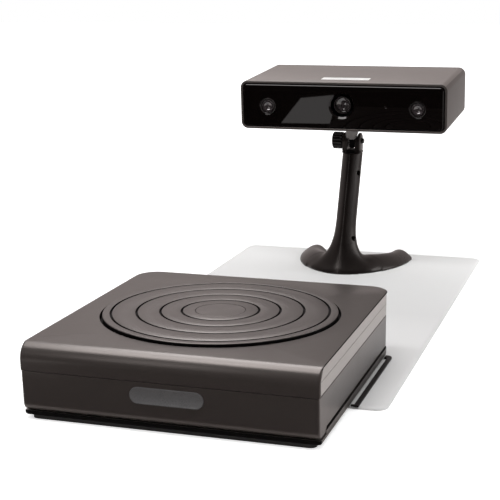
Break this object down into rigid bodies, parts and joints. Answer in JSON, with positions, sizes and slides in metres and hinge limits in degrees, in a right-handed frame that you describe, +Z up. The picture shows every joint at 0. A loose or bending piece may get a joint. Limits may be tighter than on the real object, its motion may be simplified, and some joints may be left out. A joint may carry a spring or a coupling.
{
  "type": "desktop 3d scanner",
  "caption": "Structured-light desktop scanner: motor-driven turntable, distance-setting sheet, and a twin-camera projector head that tilts on a leaning stand.",
  "frame": {"origin": "on the table top, under the middle of the whole set's bounding box", "axes": "+Z up, +Y from the turntable towards the scanner head along the set's length, +X to the right seen from the turntable end"},
  "size_m": [0.254, 0.5905, 0.1998],
  "materials": {
    "deck_plastic": "fine-textured warm grey moulding",
    "platter_plastic": "fine-textured warm grey disc with cut rings",
    "shell_plastic": "dark satin moulding",
    "tray_plastic": "warm grey moulding",
    "black_plastic": "black moulding",
    "stand_plastic": "black satin moulding",
    "stand_casting": "casting painted black",
    "sheet_plastic": "pale grey sheet",
    "rubber": "black rubber",
    "fixings": "plated screws",
    "turned_steel": "turned and ground",
    "brass": "turned brass",
    "sleeve_paint": "warm grey fine-textured paint",
    "lug_paint": "warm grey paint",
    "aluminium": "plain, machined",
    "nylon": "unpainted nylon",
    "motor_case": "black lacquer",
    "board_green": "solder mask",
    "black_glass": "black-tinted glass",
    "lens_glass": "coated lens",
    "badge_grey": "dark grey inlay, bare",
    "label_white": "pale plate, bare",
    "engine_case": "dark anodised case",
    "light_pipe": "clear light pipe",
    "red_glass": "dark red filter"
  },
  "bodies": {
    "base": {"top_shell": "deck_plastic", "lower_shell": "shell_plastic", "base_tray": "tray_plastic", "base_screws": "fixings", "rubber_feet": "rubber", "locating_flanges": "black_plastic", "front_badge": "badge_grey", "bearing_housing": "aluminium", "bearing_bush": "brass", "motor": "motor_case", "motor_bracket": "aluminium", "table_board": "board_green", "table_socket": "turned_steel", "positioning_sheet": "sheet_plastic", "stand_foot": "stand_casting", "pole_left": "stand_plastic", "pole_right": "stand_plastic", "stand_screws": "fixings", "foot_pads": "rubber", "yoke": "black_plastic", "tilt_bolt": "turned_steel"},
    "platter": {"platter": "platter_plastic", "centre_disc": "platter_plastic", "spindle": "turned_steel", "platter_gear": "nylon"},
    "pinion": {"motor_pinion": "turned_steel"},
    "head": {"tilt_lug": "lug_paint", "head_sleeve": "sleeve_paint", "front_bezel": "black_plastic", "glass_panel": "black_glass", "top_badge": "label_white", "rear_cover": "black_plastic", "rear_screws": "fixings", "chassis_plate": "aluminium", "left_camera": "black_plastic", "right_camera": "black_plastic", "left_lens": "lens_glass", "right_lens": "lens_glass", "camera_boards": "board_green", "projector_barrel": "black_plastic", "projector_lens": "lens_glass", "light_engine": "engine_case", "heat_sink": "aluminium", "fan_frame": "black_plastic", "main_board": "board_green", "usb_socket": "turned_steel", "power_jack": "black_plastic", "power_switch": "black_plastic", "status_light": "light_pipe", "sensor_window": "red_glass"},
    "knob": {"tilt_knob": "black_plastic", "knob_insert": "brass"},
    "fan": {"fan_rotor": "black_plastic"},
    "button": {"power_button": "aluminium"}
  },
  "joints": [
    {"name": "platter_spin", "type": "hinge", "parent": "base", "child": "platter", "pos_m": [-0.003, -0.181, 0.05], "axis": [0, 0, 1], "continuous": true},
    {"name": "pinion_spin", "type": "hinge", "parent": "base", "child": "pinion", "pos_m": [-0.04278, -0.22077, 0.025], "axis": [0, 0, 1], "continuous": true},
    {"name": "head_tilt", "type": "hinge", "parent": "base", "child": "head", "pos_m": [0, 0.22739, 0.1288], "axis": [1, 0, 0], "range_deg": [-25, 20]},
    {"name": "knob_turn", "type": "hinge", "parent": "base", "child": "knob", "pos_m": [-0.015, 0.22739, 0.1288], "axis": [1, 0, 0], "range_deg": [-360, 0]},
    {"name": "fan_spin", "type": "hinge", "parent": "head", "child": "fan", "pos_m": [0, 0.28536, 0.17535], "axis": [0, 0.9977, 0.068], "continuous": true},
    {"name": "button_press", "type": "slide", "parent": "head", "child": "button", "axis": [0, -0.9977, -0.068], "range_m": [0, 0.0012], "stiffness_N_per_m": 400}
  ],
  "couplings": [
    {"joint": "pinion_spin", "follows": "platter_spin", "ratio": -4}
  ]
}
